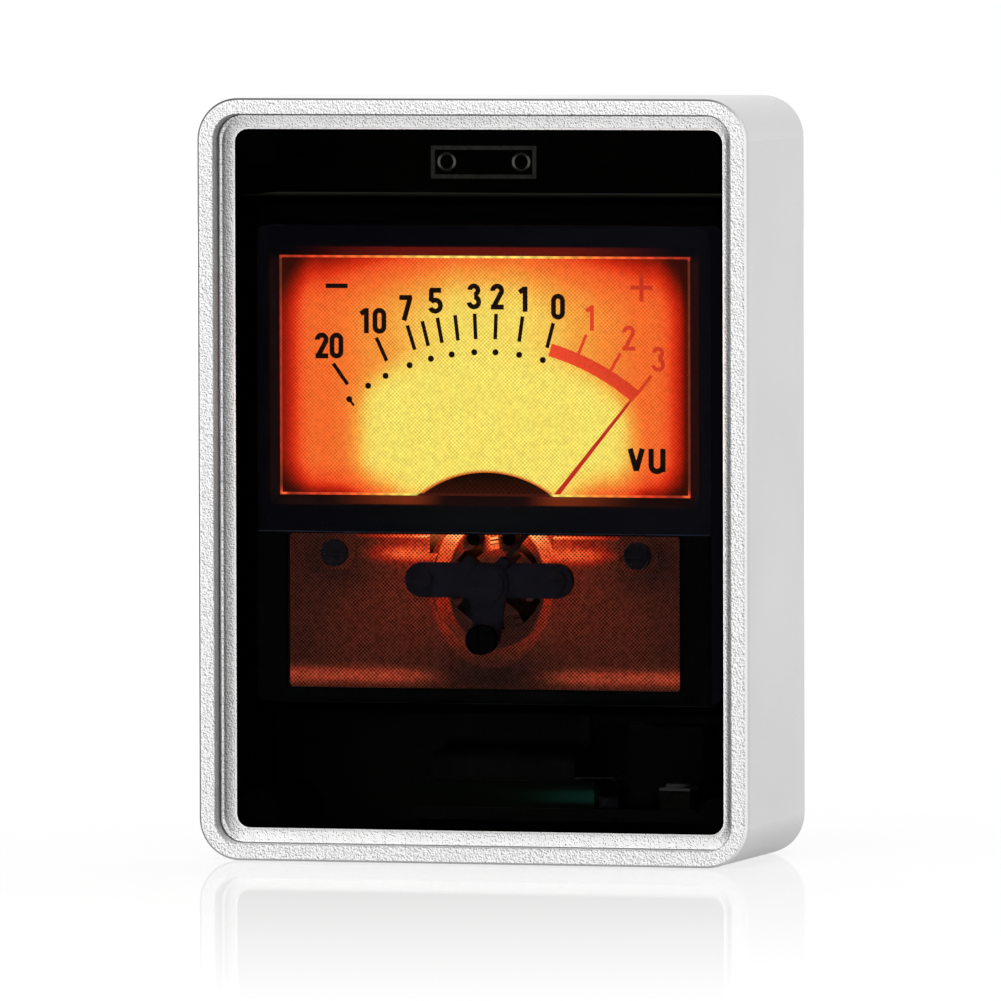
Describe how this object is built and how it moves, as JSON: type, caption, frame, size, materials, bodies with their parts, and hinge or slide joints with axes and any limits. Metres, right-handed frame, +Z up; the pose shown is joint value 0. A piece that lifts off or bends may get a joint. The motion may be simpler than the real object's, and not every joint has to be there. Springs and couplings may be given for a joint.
{
  "type": "vu meter",
  "caption": "Desktop analogue level meter: a needle over a lit dial behind glass in a rounded aluminium case, with audio and power sockets at the rear.",
  "frame": {"origin": "bottom centre of the case", "axes": "+Z up, -Y out of the dial toward the viewer, +X to the viewer's right"},
  "size_m": [0.0744, 0.03, 0.1],
  "materials": {
    "case_aluminium": "bead blasted and clear anodised",
    "front_glass": "polished",
    "screw_steel": "plain",
    "brass": "turned",
    "board_black": "solder mask",
    "board_green": "solder mask",
    "chip_plastic": "moulded",
    "can_aluminium": "drawn",
    "header_plastic": "moulded",
    "ribbon": "matt",
    "socket_steel": "plated",
    "black_plastic": "moulded",
    "pot_plastic": "moulded",
    "shaft_plastic": "moulded",
    "lens": "clear moulding",
    "dial": "backlit printed film",
    "glow": "backlit diffuser",
    "lamp": "lit",
    "iron": "plated",
    "needle": "painted",
    "copper": "enamelled wire"
  },
  "bodies": {
    "case": {"case_shell": "case_aluminium", "front_glass": "front_glass", "rear_cover": "case_aluminium", "cover_screws": "screw_steel", "standoffs": "brass", "main_board": "board_black", "driver_chip": "chip_plastic", "capacitors": "can_aluminium", "microphone": "can_aluminium", "io_board": "board_green", "io_screws": "screw_steel", "link_header": "header_plastic", "link_ribbon": "ribbon", "inductor": "iron", "usb_shell": "socket_steel", "usb_tongue": "black_plastic", "jack_socket": "black_plastic", "pot_body": "pot_plastic", "meter_lens": "lens", "meter_base": "black_plastic", "meter_mask": "black_plastic", "lower_cover": "black_plastic", "dial_plate": "dial", "dial_screws": "screw_steel", "glow_plate": "glow", "lamp_board": "shaft_plastic", "lamp_leds": "lamp", "lamp_leads": "ribbon", "yoke": "iron", "core": "iron", "core_spacers": "brass", "front_bridge": "black_plastic", "rear_bridge": "black_plastic", "bridge_screws": "screw_steel", "movement_screws": "screw_steel", "jewel_screws": "brass", "hairsprings": "brass", "terminal_studs": "brass", "terminal_nuts": "brass"},
    "needle": {"pointer": "needle", "balance_weight": "brass", "coil_former": "can_aluminium", "coil": "copper", "staff": "screw_steel"},
    "corrector": {"zero_adjuster": "black_plastic"},
    "corrector_lever": {"zero_lever": "black_plastic"},
    "sensitivity": {"pot_shaft": "shaft_plastic"}
  },
  "joints": [
    {"name": "needle_swing", "type": "hinge", "parent": "case", "child": "needle", "pos_m": [0, 0, 0.0361], "axis": [0, 1, 0], "range_deg": [-79, 3], "stiffness_Nm_per_rad": 0.00005},
    {"name": "corrector_turn", "type": "hinge", "parent": "case", "child": "corrector", "pos_m": [0, 0, 0.0291], "axis": [0, 1, 0], "range_deg": [-30, 30]},
    {"name": "lever_swing", "type": "hinge", "parent": "case", "child": "corrector_lever", "pos_m": [0, 0, 0.0361], "axis": [0, 1, 0], "range_deg": [-3.8, 3.8]},
    {"name": "sensitivity_turn", "type": "hinge", "parent": "case", "child": "sensitivity", "pos_m": [0.021, 0, 0.0121], "axis": [0, 1, 0], "range_deg": [-150, 150]}
  ],
  "couplings": [
    {"joint": "lever_swing", "follows": "corrector_turn", "ratio": -0.121}
  ]
}
